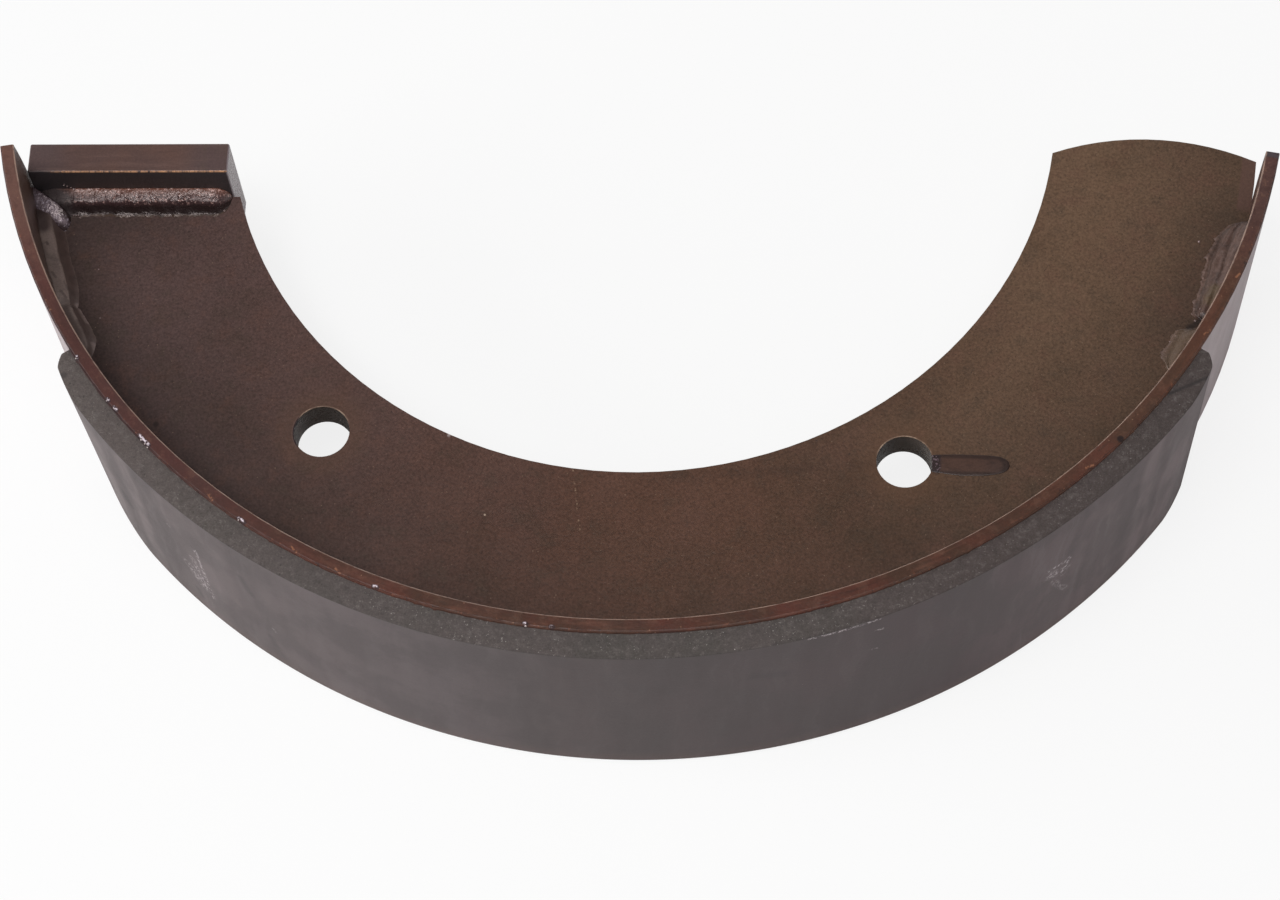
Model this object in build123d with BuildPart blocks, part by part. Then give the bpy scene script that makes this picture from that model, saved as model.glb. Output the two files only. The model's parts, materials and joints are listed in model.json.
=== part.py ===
from build123d import *
import os
from math import acos, cos, degrees, radians, sin, sqrt

# Single-web brake shoe for a 400 x 80 mm drum brake, welded from plate, with a bonded lining.
# Millimetres and degrees. The origin is in the middle of the lining's working face, where the
# shoe meets the drum. The drum axis stands along Z at Y = drum_radius, and X runs along the chord
# towards the convex anchor end. Places in the plane of the web are measured from the drum axis,
# and angles from the middle of the lining, positive towards +X.

# ---- driving dimensions ----
drum_radius = 200.0  # working face of the lining

lining_thickness = 7.5
lining_width = 78.0
lining_start = -57.3
lining_end = 57.4
lining_bevel_depth = 3.2  # bevel on the outer corner of each end, across the thickness
lining_bevel_length = 6.5  # and along the working face

rim_thickness = 4.0
rim_width = 80.0
rim_overhang = 0.7  # angle by which the rim passes the front of the end plate
rim_end = 79.3
rim_end_crown = 4.8  # each end of the strip is cut to a shallow convex curve
rim_edge_radius = 0.5

web_thickness = 10.0
web_depth = 61.4  # from the rim to the inner edge
anchor_radius = 77.3  # convex bearing curve at the web's free end
anchor_inset = 36.0  # from the rim's inner face to the middle of that curve
anchor_y = -14.0  # highest point of that curve

hole_diameter = 16.5  # return-spring holes
hole_inset = 41.8  # from the rim's inner face to the holes' centres
left_hole_angle = -39.05
right_hole_angle = 32.55

plate_face_y = -23.6  # abutment face that the expander pushes on
plate_thickness = 10.0
plate_height = 35.0
plate_rise = 2.5  # middle of the plate above the middle of the web
plate_setback = 1.8  # the plate stops this far short of the web's inner edge
plate_rim_gap = 0.1
plate_edge_radius = 0.6

bead_crown = 0.19  # bulge of a weld bead's face, as a share of the face's width
plate_bead_reach = 6.5  # leg of the fillet weld along the web
plate_bead_rise = 5.0  # leg of the fillet weld up the plate
corner_weld_reach = 12.5
corner_weld_rise = 6.5

# ---- derived sizes ----
rim_outer_radius = drum_radius - lining_thickness
rim_inner_radius = rim_outer_radius - rim_thickness
rim_crown_radius = ((rim_width / 2) ** 2 + rim_end_crown**2) / (2 * rim_end_crown)
rim_cut_length = 4 * rim_end_crown  # block that the end cut leaves its curve in
rim_cut_depth = 3 * rim_thickness  # through the strip, one thickness to spare each side
web_inner_radius = rim_inner_radius - web_depth
web_top = web_thickness / 2
plate_front_y = plate_face_y - plate_thickness
corner_x = -sqrt(rim_inner_radius**2 - plate_front_y**2)  # the plate's front meets the rim here
plate_outer_x = corner_x + plate_rim_gap
plate_inner_x = -sqrt(web_inner_radius**2 - plate_front_y**2) - plate_setback
rim_start = -degrees(acos(-plate_front_y / rim_inner_radius)) - rim_overhang
trim = 2 * drum_radius  # size of the shapes that only cut others

# Stitch welds between web and rim: name, first angle, angle covered, leg along the web, leg up the rim.
rim_stitches = (
    ("left_end", rim_start + 1.4, 12.0, 7.5, 6.0),
    ("left", rim_start + 13.4, 6.2, 7.0, 5.0),
    ("front_left", -39.0, 12.0, 6.5, 5.5),
    ("front", -6.0, 12.0, 6.5, 5.5),
    ("front_right", 27.0, 12.0, 6.5, 5.5),
    ("right", rim_end - 20.6, 5.6, 8.5, 4.5),
    ("right_end", rim_end - 14.1, 11.6, 10.5, 5.5),
)

# ---- reference geometry ----
drum_axis = Axis((0, drum_radius, 0), (0, 0, 1))


def level(height):
    """Horizontal plane centred on the drum axis."""
    return Plane((0, drum_radius, height))


def radial_plane(angle, radius=0.0, height=0.0):
    """Upright plane facing round the drum axis: its x points outwards and its y points up."""
    outward = Vector(sin(radians(angle)), -cos(radians(angle)), 0)
    along = Vector(cos(radians(angle)), sin(radians(angle)), 0)
    origin = Vector(0, drum_radius, height) + outward * radius
    return Plane(origin, x_dir=outward, z_dir=-along)


# ---- web: crescent plate with two spring holes, square at the plate end, convex at the anchor end ----
with BuildPart() as web_plate:
    with BuildSketch(level(-web_top)):
        Circle(rim_inner_radius)
        Circle(web_inner_radius, mode=Mode.SUBTRACT)
        with BuildSketch(mode=Mode.INTERSECT):
            with Locations((0, plate_front_y)):
                Rectangle(trim, trim, align=(Align.MAX, Align.MAX))
            with Locations((0, anchor_y - anchor_radius)):
                Rectangle(trim, trim, align=(Align.MIN, Align.MAX))
            with Locations((rim_inner_radius - anchor_inset, anchor_y - anchor_radius)):
                Circle(anchor_radius)
    extrude(amount=web_thickness)
    for hole_angle in (left_hole_angle, right_hole_angle):
        with Locations(Plane(radial_plane(hole_angle, rim_inner_radius - hole_inset, web_top).origin)):
            Hole(hole_diameter / 2)
web_plate.part.label = "web_plate"

# ---- rim: strip rolled on edge round the web, each end trimmed to a shallow convex curve ----
with BuildPart() as rim_strip:
    with BuildSketch(radial_plane(rim_start, rim_inner_radius)):
        with Locations((rim_thickness / 2, 0)):
            RectangleRounded(rim_thickness, rim_width, rim_edge_radius)
    revolve(axis=drum_axis, revolution_arc=rim_end - rim_start)
    for end_angle, past in ((rim_start, 1), (rim_end, -1)):
        radial = radial_plane(end_angle, rim_inner_radius - rim_thickness)
        with BuildSketch(Plane(radial.origin, x_dir=radial.z_dir * past, z_dir=radial.x_dir)):
            Rectangle(rim_cut_length, rim_width)
            with Locations((-rim_crown_radius, 0)):
                Circle(rim_crown_radius, mode=Mode.SUBTRACT)
        extrude(amount=rim_cut_depth, mode=Mode.SUBTRACT)
rim_strip.part.label = "rim_strip"

# ---- lining: one moulded segment bonded to the rim, its outer corners bevelled at both ends ----
with BuildPart() as friction_lining:
    with BuildSketch(radial_plane(lining_start, rim_outer_radius)):
        Rectangle(lining_thickness, lining_width, align=(Align.MIN, Align.CENTER))
    revolve(axis=drum_axis, revolution_arc=lining_end - lining_start)
    for end in friction_lining.faces().filter_by(GeomType.PLANE).filter_by(Axis.Z, reverse=True):
        outer_edge = end.edges().filter_by(Axis.Z).sort_by_distance(drum_axis.position)[-1]
        chamfer(outer_edge, lining_bevel_depth, lining_bevel_length, reference=end)
friction_lining.part.label = "friction_lining"

# ---- end plate: abutment for the brake's expander, set across the web's square end ----
with BuildPart() as end_plate:
    with BuildSketch(level(plate_rise - plate_height / 2)):
        with Locations((plate_outer_x, plate_face_y)):
            Rectangle(plate_inner_x - plate_outer_x, plate_thickness, align=(Align.MIN, Align.MAX))
    extrude(amount=plate_height)
    fillet(end_plate.edges(), plate_edge_radius)
end_plate.part.label = "end_plate"


# ---- welds: each bead is drawn above the web and mirrored for the one below it ----
def bead_section(reach, rise):
    """Fillet weld section, its square corner at the origin and its legs towards -x and +y."""
    crown = Vector(-reach / 2, rise / 2) + Vector(-rise, reach) * bead_crown
    with BuildLine() as outline:
        Polyline((-reach, 0), (0, 0), (0, rise))
        ThreePointArc((0, rise), crown, (-reach, 0))
    make_face(outline.line)


def bead_end(plane, reach, rise, turn):
    """Round off a bead by turning its section about its own corner."""
    with BuildSketch(plane) as section:
        bead_section(reach, rise)
    revolve(section.sketch, axis=Axis(plane.origin, (0, 0, 1)), revolution_arc=turn)


def corner_dome(mode=Mode.ADD):
    """Cap of weld metal standing on the web where plate, web and rim meet."""
    dome_radius = (corner_weld_reach**2 + corner_weld_rise**2) / (2 * corner_weld_rise)
    with Locations((corner_x, drum_radius + plate_front_y, web_top + corner_weld_rise - dome_radius)):
        Sphere(dome_radius, mode=mode)


def trim_to_corner():
    """Keep only what lies above the web, inside the rim and in front of the end plate."""
    with BuildSketch(level(web_top)) as inside:
        Circle(rim_inner_radius)
        with Locations((0, plate_front_y)):
            Rectangle(trim, trim, align=(Align.CENTER, Align.MIN), mode=Mode.SUBTRACT)
    extrude(inside.sketch, amount=plate_height, mode=Mode.INTERSECT)


with BuildPart() as corner_weld:
    corner_dome()
    trim_to_corner()

inner_corner = (corner_x, drum_radius + plate_front_y, web_top)
plate_weld_start = Plane(inner_corner, x_dir=(0, 1, 0), z_dir=(1, 0, 0))
plate_weld_run = plate_inner_x - plate_edge_radius - plate_bead_reach - corner_x
with BuildPart() as end_plate_weld:
    with BuildSketch(plate_weld_start):
        bead_section(plate_bead_reach, plate_bead_rise)
    extrude(amount=plate_weld_run)
    bead_end(plate_weld_start.offset(plate_weld_run), plate_bead_reach, plate_bead_rise, 90)
    corner_dome(mode=Mode.SUBTRACT)
    trim_to_corner()

welds = {"corner_weld": corner_weld.part, "end_plate_weld": end_plate_weld.part}

for stitch_name, stitch_start, stitch_angle, reach, rise in rim_stitches:
    round_end = degrees(reach / rim_inner_radius)
    run_start = stitch_start + round_end
    run_end = stitch_start + stitch_angle - round_end
    with BuildPart() as rim_weld:
        with BuildSketch(radial_plane(run_start, rim_inner_radius, web_top)):
            bead_section(reach, rise)
        revolve(axis=drum_axis, revolution_arc=run_end - run_start)
        bead_end(radial_plane(run_start, rim_inner_radius, web_top), reach, rise, 90)
        bead_end(radial_plane(run_end, rim_inner_radius, web_top), reach, rise, -90)
        corner_dome(mode=Mode.SUBTRACT)
        trim_to_corner()
    welds[f"rim_weld_{stitch_name}"] = rim_weld.part

# ---- labels and files ----
pieces = [web_plate.part, rim_strip.part, friction_lining.part, end_plate.part]
for weld_name, bead in welds.items():
    lower_bead = mirror(bead, about=Plane.XY)
    bead.label = f"{weld_name}_top"
    lower_bead.label = f"{weld_name}_under"
    pieces += [bead, lower_bead]

os.makedirs("parts", exist_ok=True)
for piece in pieces:
    export_step(piece, f"parts/{piece.label}.step")
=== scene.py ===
import json
import math
from functools import partialmethod

import bmesh
import bpy
from mathutils import Matrix, Vector, noise


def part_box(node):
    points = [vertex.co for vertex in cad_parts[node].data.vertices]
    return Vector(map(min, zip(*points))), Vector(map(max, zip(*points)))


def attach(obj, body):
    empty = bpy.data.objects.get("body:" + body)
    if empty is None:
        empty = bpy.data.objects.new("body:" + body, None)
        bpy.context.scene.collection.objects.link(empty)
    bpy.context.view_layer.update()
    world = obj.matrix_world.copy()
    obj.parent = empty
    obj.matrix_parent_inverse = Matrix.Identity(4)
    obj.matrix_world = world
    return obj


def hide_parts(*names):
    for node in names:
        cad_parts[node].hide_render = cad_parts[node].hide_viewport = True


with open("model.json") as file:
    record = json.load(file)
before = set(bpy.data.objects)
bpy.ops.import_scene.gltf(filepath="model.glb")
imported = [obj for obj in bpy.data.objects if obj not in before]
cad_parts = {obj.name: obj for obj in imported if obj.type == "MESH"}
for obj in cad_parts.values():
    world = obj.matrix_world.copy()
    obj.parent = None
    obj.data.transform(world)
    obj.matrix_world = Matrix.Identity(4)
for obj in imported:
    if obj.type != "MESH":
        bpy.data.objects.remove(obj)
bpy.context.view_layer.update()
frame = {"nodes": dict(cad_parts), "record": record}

# A single-web brake shoe lying on the edge of its rim. Metres. The origin is in the middle of the
# lining's working face, the drum axis stands at y = DRUM_AXIS_Y, and +X runs to the anchor end.
# Angles are in degrees from the middle of the lining, positive towards +X. Finishes work in
# millimetres from the drum axis.

DRUM_AXIS_Y = 0.200
DRUM_RADIUS = 0.200
RIM_INNER = 0.1885
RIM_OUTER = 0.1925
RIM_TOP = 0.040
WEB_TOP = 0.005
PLATE_FRONT_Y = DRUM_AXIS_Y - 0.0336
PLATE_INNER_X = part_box("end_plate")[1].x
CORNER_X = -0.1855  # the plate's front meets the rim here
HOLE_PITCH_MM = 146.7
HOLE_RADIUS_MM = 8.25
FACE_DEGREE_MM = DRUM_RADIUS * math.radians(1) * 1000  # a degree along the working face
LEFT_HOLE_ANGLE, RIGHT_HOLE_ANGLE = -39.05, 32.55


def polar(radius, angle, height=0.0):
    """The point at that radius and angle round the drum axis."""
    turn = math.radians(angle)
    return Vector((radius * math.sin(turn), DRUM_AXIS_Y - radius * math.cos(turn), height))


def polar_mm(radius, angle):
    """The same in the finishes' millimetres, on the web's plane."""
    turn = math.radians(angle)
    return radius * math.sin(turn), -radius * math.cos(turn)


def at_mm(x, y, z):
    """A point given in the finishes' millimetres."""
    return Vector((x / 1000, DRUM_AXIS_Y + y / 1000, z / 1000))


def tint(*screen_values):
    """A colour given as red, green and blue of 0 to 255 on a screen."""
    def linear(value):
        value /= 255
        return value / 12.92 if value <= 0.04045 else ((value + 0.055) / 1.055) ** 2.4
    return *(linear(value) for value in screen_values), 1.0


def add_object(name, data):
    added = bpy.data.objects.new(name, data)
    bpy.context.scene.collection.objects.link(added)
    return added


# ---- finishes ----
class Wire:
    """A node's output. Python's operators on it add Math nodes."""

    def __init__(self, nodes, socket):
        self.nodes = nodes
        self.socket = socket

    def maths(self, operation, *values):
        return self.nodes.add("ShaderNodeMath", {"operation": operation}, dict(enumerate((self, *values))))

    def flipped(self, operation, value):
        return self.nodes.add("ShaderNodeMath", {"operation": operation}, {0: value, 1: self})

    __add__ = partialmethod(maths, "ADD")
    __radd__ = partialmethod(flipped, "ADD")
    __sub__ = partialmethod(maths, "SUBTRACT")
    __rsub__ = partialmethod(flipped, "SUBTRACT")
    __mul__ = partialmethod(maths, "MULTIPLY")
    __rmul__ = partialmethod(flipped, "MULTIPLY")
    __neg__ = partialmethod(maths, "MULTIPLY", -1.0)
    __abs__ = partialmethod(maths, "ABSOLUTE")
    root = partialmethod(maths, "SQRT")
    most = partialmethod(maths, "MAXIMUM")
    least = partialmethod(maths, "MINIMUM")

    def over(self, low, high):
        """Rises smoothly from 0 at low to 1 at high. With low above high it falls."""
        inputs = {"Value": self, "From Min": low, "From Max": high}
        return self.nodes.add("ShaderNodeMapRange", {"interpolation_type": "SMOOTHSTEP"}, inputs)

    def within(self, low, high, soft):
        """1 between low and high, with soft edges."""
        return self.over(low - soft, low) * self.over(high + soft, high)


class Nodes:
    """A node tree that is built from nothing."""

    def __init__(self, tree):
        self.tree = tree
        self.tree.nodes.clear()

    def add(self, kind, settings=None, inputs=None, output=0):
        """Adds a node: its settings first, then the values or wires of its sockets."""
        node = self.tree.nodes.new(kind)
        for name, value in (settings or {}).items():
            if name == "stops":
                ramp = node.color_ramp.elements
                while len(ramp) < len(value):
                    ramp.new(1.0)
                for element, (position, colour) in zip(ramp, value):
                    element.position = position
                    element.color = colour
            else:
                setattr(node, name, value)
        for key, value in (inputs or {}).items():
            if isinstance(value, Wire):
                self.tree.links.new(value.socket, node.inputs[key])
            else:
                node.inputs[key].default_value = value
        return self.outputs(node, output) if node.outputs else node

    def outputs(self, node, *keys):
        """One output of a node, or several of them."""
        wires = [Wire(self, node.outputs[key]) for key in keys]
        return wires if len(wires) > 1 else wires[0]

    def split(self, vector):
        """The three parts of a vector or colour."""
        return self.outputs(self.add("ShaderNodeSeparateXYZ", inputs={0: vector}).socket.node, 0, 1, 2)

    def join(self, x, y, z):
        return self.add("ShaderNodeCombineXYZ", inputs={0: x, 1: y, 2: z})


class Finish(Nodes):
    """A material, in millimetres from the drum axis. colour is the colour that is laid so far."""

    def __init__(self, name):
        self.material = bpy.data.materials.new(name)
        self.material.use_nodes = True
        super().__init__(self.material.node_tree)
        place = self.add("ShaderNodeTexCoord", output="Object")
        inputs = {0: place, 1: (0, DRUM_AXIS_Y, 0)}
        centred = self.add("ShaderNodeVectorMath", {"operation": "SUBTRACT"}, inputs)
        self.place = self.add("ShaderNodeVectorMath", {"operation": "SCALE"}, {0: centred, "Scale": 1000})
        self.x, self.y, self.z = self.split(self.place)
        self.radius = (self.x * self.x + self.y * self.y).root()
        self.angle = self.x.maths("ARCTAN2", -self.y) * math.degrees(1)
        self.colour = None

    def attribute(self, name):
        """A number that the piece's mesh carries at each point."""
        return self.add("ShaderNodeAttribute", {"attribute_name": name}, output="Fac")

    def cloud(self, size, detail=2.0, roughness=0.5, where=None):
        """Soft noise with lumps of about that size in millimetres."""
        inputs = {"Vector": where or self.place, "Scale": 1 / size, "Detail": detail, "Roughness": roughness}
        return self.add("ShaderNodeTexNoise", inputs=inputs, output="Fac")

    def dots(self, cell, radius, share):
        """Round dots of that radius scattered over a share of the cells, both in millimetres."""
        nearest = self.add("ShaderNodeTexVoronoi", inputs={"Vector": self.place, "Scale": 1 / cell})
        distance, shade = self.outputs(nearest.socket.node, "Distance", "Color")
        chance = self.split(shade)[0]
        return distance.over(radius / cell, 0.5 * radius / cell) * chance.over(share + 0.01, share)

    def ramp(self, value, *stops):
        """A colour that changes with a value. A stop is its place from 0 to 1 and its red, green and blue."""
        stops = [(place, tint(*shade)) for place, *shade in stops]
        return self.add("ShaderNodeValToRGB", {"stops": stops}, {0: value})

    def mix(self, share, first, second):
        """Blends two colours. Each is a wire, or its red, green and blue."""
        first, second = (colour if isinstance(colour, Wire) else tint(*colour) for colour in (first, second))
        settings = {"data_type": "RGBA", "clamp_factor": True}
        return self.add("ShaderNodeMix", settings, {0: share, 6: first, 7: second}, output=2)

    def lay(self, share, *colour):
        """Lays a colour over the one so far, in that share. It is a wire, or its red, green and blue."""
        self.colour = self.mix(share, self.colour, colour if len(colour) > 1 else colour[0])

    def vary(self, pattern, *layers):
        """Lays colours where a pattern passes from low to high. A layer: low, high, strength, colour."""
        for low, high, strength, *colour in layers:
            self.lay(pattern.over(low, high) * strength, *colour)

    def brighten(self, factor):
        """Multiplies the colour so far by a number that varies over the surface."""
        settings = {"operation": "SCALE"}
        self.colour = self.add("ShaderNodeVectorMath", settings, {0: self.colour, "Scale": factor})

    def spot(self, centre, radius, soft):
        """A round patch on the plane of the web, in millimetres from the drum axis."""
        across = self.x - centre[0]
        along = self.y - centre[1]
        return (across * across + along * along).root().over(radius + soft, radius - soft)

    def face_stroke(self, arc, first, second, half_width, soft):
        """A straight mark on the working face. Its ends are degrees along the arc and heights."""
        ends = [(angle * FACE_DEGREE_MM, height) for angle, height in (first, second)]
        return self.stroke(*ends, half_width, soft, (arc, self.z))

    def stroke(self, start, end, half_width, soft, plane=None):
        """A straight mark on the plane of the web, or on another plane given by its two coordinates."""
        across, along = plane or (self.x, self.y)
        run = (end[0] - start[0], end[1] - start[1])
        length = math.hypot(*run)
        pull = [part / length**2 for part in run]
        share = ((across - start[0]) * pull[0] + (along - start[1]) * pull[1]).least(1.0).most(0.0)
        off_across = across - start[0] - share * run[0]
        off_along = along - start[1] - share * run[1]
        distance = (off_across * off_across + off_along * off_along).root()
        return distance.over(half_width + soft, half_width - soft)

    def bump(self, height):
        """A normal from a height in millimetres."""
        return self.add("ShaderNodeBump", inputs={"Height": height, "Distance": 0.001, "Strength": 1.0})

    def surface(self, roughness, height, fixed=None):
        """Closes the material with one Principled shader. fixed holds what is the same all over."""
        inputs = {"Base Color": self.colour, "Roughness": roughness, "Normal": self.bump(height)}
        inputs.update(fixed or {})
        shader = self.add("ShaderNodeBsdfPrincipled", inputs=inputs)
        self.add("ShaderNodeOutputMaterial", inputs={0: shader})
        return self.material


def paint_grain(coat):
    """Sandy orange peel of sprayed primer: its fine grain, from 0 to 1, and its height."""
    fine = coat.cloud(0.8, detail=4.0, roughness=0.8)
    peel = coat.cloud(2.4, detail=2.0)
    return fine, fine * 0.09 + peel * 0.06


def web_finish():
    coat = Finish("web_paint")
    fine, height = paint_grain(coat)
    drift = coat.cloud(45.0, detail=3.0)
    mottle = coat.cloud(6.5, detail=4.0, roughness=0.65)
    patches = coat.cloud(19.0, detail=4.0, roughness=0.6)
    # purple-brown at the plate end, through red-brown, to olive-brown at the anchor end, whose lighter tone
    # there is partly painted light
    run = (coat.x + (drift - 0.5) * 90).over(-190.0, 190.0)
    coat.colour = coat.ramp(
        run, (0.0, 92, 71, 68), (0.28, 87, 62, 54), (0.42, 88, 60, 48),
        (0.56, 90, 62, 48), (0.76, 84, 61, 47), (1.0, 115, 90, 71),
    )
    # painted shade towards the rim, where the rim shades the web, deepest and colder in tone at the plate end
    outer = (coat.radius + (drift - 0.5) * 34 + (patches - 0.5) * 12).over(138.0, 184.0)
    plate_side = coat.x.over(0.0, -120.0)
    anchor_side = coat.x.over(30.0, 95.0)
    rim_shade_colour = coat.mix(coat.x.over(-135.0, -85.0), (58, 46, 44), (58, 42, 35))
    coat.lay(outer * (0.26 + plate_side * 0.3 + anchor_side * 0.26), rim_shade_colour)
    # painted shade on the web beside the welds, where the plate and the rim meet it
    beside_plate = coat.y.over(-62.0, -42.0) * coat.x.over(-128.0, -150.0)
    near_ends = coat.angle.within(64.0, 75.0, 6.0) + coat.angle.over(-56.0, -66.0)
    beside_rim = coat.radius.over(162.0, 182.0) * near_ends
    coat.lay((beside_plate.most(beside_rim) + (drift - 0.5) * 0.5).most(0.0) * 0.36, 50, 42, 38)
    paler = coat.spot((-150.0, -60.0), 18.0, 14.0)
    coat.lay(paler * 0.3, 106, 82, 78)
    coat.vary(patches, (0.52, 0.7, 0.24, 96, 65, 54), (0.47, 0.3, 0.2, 64, 52, 40))
    coat.vary(mottle, (0.5, 0.68, 0.22, 102, 70, 58), (0.48, 0.32, 0.24, 68, 58, 48))
    coat.brighten(fine * 2.0)
    specks = coat.dots(2.4, 0.28, 0.12).most(coat.dots(1.3, 0.22, 0.12))
    coat.lay(specks * 0.36, 152, 128, 108)
    pits = coat.dots(1.9, 0.3, 0.16).most(coat.dots(1.1, 0.24, 0.16))
    coat.lay(pits * 0.5, 40, 30, 27)
    # marks in the paint: a dotted scratch, a faint rubbed line, a stain and a pale nick
    beads = coat.cloud(1.3, detail=3.0, roughness=0.75).over(0.5, 0.6)
    scratch = coat.stroke(polar_mm(127.6, -8.0), polar_mm(146.4, -6.0), 0.22, 0.12)
    coat.lay(scratch * beads * 0.5, 170, 142, 118)
    rubbed = coat.stroke(polar_mm(129.0, 2.0), polar_mm(158.0, 39.0), 1.4, 1.2)
    coat.lay(rubbed * coat.cloud(9.0).over(0.35, 0.6) * 0.3, 58, 42, 34)
    coat.lay(coat.spot(polar_mm(180.5, -51.8), 0.9, 0.4) * 0.7, 38, 28, 28)
    coat.lay(coat.spot(polar_mm(147.3, -17.0), 0.3, 0.15) * 0.8, 190, 168, 150)
    wall = 0.0
    for hole_angle, side in ((LEFT_HOLE_ANGLE, -1), (RIGHT_HOLE_ANGLE, 1)):
        centre = polar_mm(HOLE_PITCH_MM, hole_angle)
        # warmer paint round the hole, and dark paint drawn into its outer edge
        halo = coat.spot(centre, HOLE_RADIUS_MM + 5.0, 4.0)
        coat.lay(halo * 0.26, 106, 76, 56)
        rim = coat.spot(centre, HOLE_RADIUS_MM + 2.4, 0.4)
        edge = coat.spot((centre[0] + side * 10.2, centre[1] - 0.8), 3.4, 0.6)
        coat.lay(rim * edge * (0.3 + side * 0.2), 44, 34, 34)
        # a painted highlight along the upper arris, broken up in places
        arris = coat.spot(centre, HOLE_RADIUS_MM + 0.3, 0.12) * coat.z.over(4.9, 4.97)
        arris = arris * coat.y.over(centre[1] + 1.5, centre[1] + 6.0)
        wear_and_glint = coat.cloud(2.6, detail=4.0, roughness=0.7).over(0.44, 0.6)
        coat.lay(arris * (0.25 + wear_and_glint * 0.6), 184, 158, 138)
        wall = coat.spot(centre, HOLE_RADIUS_MM + 0.05, 0.02) * coat.z.over(4.95, 4.85) + wall
    # painted shade in a deep notch between the two beads by the anchor end, and a pale chip on the inner edge
    notch_shade = coat.stroke(polar_mm(182.0, 64.1), polar_mm(184.6, 65.5), 1.0, 0.6)
    coat.lay(notch_shade * 0.75, 38, 30, 28)
    chip = coat.spot(polar_mm(127.3, -25.4), 0.7, 0.3) * coat.cloud(0.9).over(0.42, 0.55)
    coat.lay(chip * 0.7, 176, 160, 158)
    # bare grey-green steel shows down the holes' walls
    coat.lay(wall * 0.8, 92, 86, 81)
    # the free edge past the rim's end is redder
    free = coat.radius.over(183.9, 184.6) * coat.angle.over(77.4, 78.4)
    coat.lay(free * 0.6, 99, 72, 66)
    # a lip of thick paint hangs over the left hole's outer edge, with a pale line round it
    left_hole = polar_mm(HOLE_PITCH_MM, LEFT_HOLE_ANGLE)
    lip_side = coat.x.over(left_hole[0] - 6.6, left_hole[0] - 7.4)
    lip = coat.spot(left_hole, HOLE_RADIUS_MM + 0.7, 0.1) * lip_side
    coat.lay(lip * 0.24, 132, 106, 100)
    underneath = coat.spot(left_hole, HOLE_RADIUS_MM + 0.4, 0.1) * coat.z.over(3.2, 3.6)
    coat.lay(lip * underneath * 0.85, 38, 28, 32)
    roughness = 0.38 + (patches - 0.5) * 0.2 + (fine - 0.5) * 0.16 - wall * 0.08
    return coat.surface(roughness, height, {"Specular IOR Level": 0.38})


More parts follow.
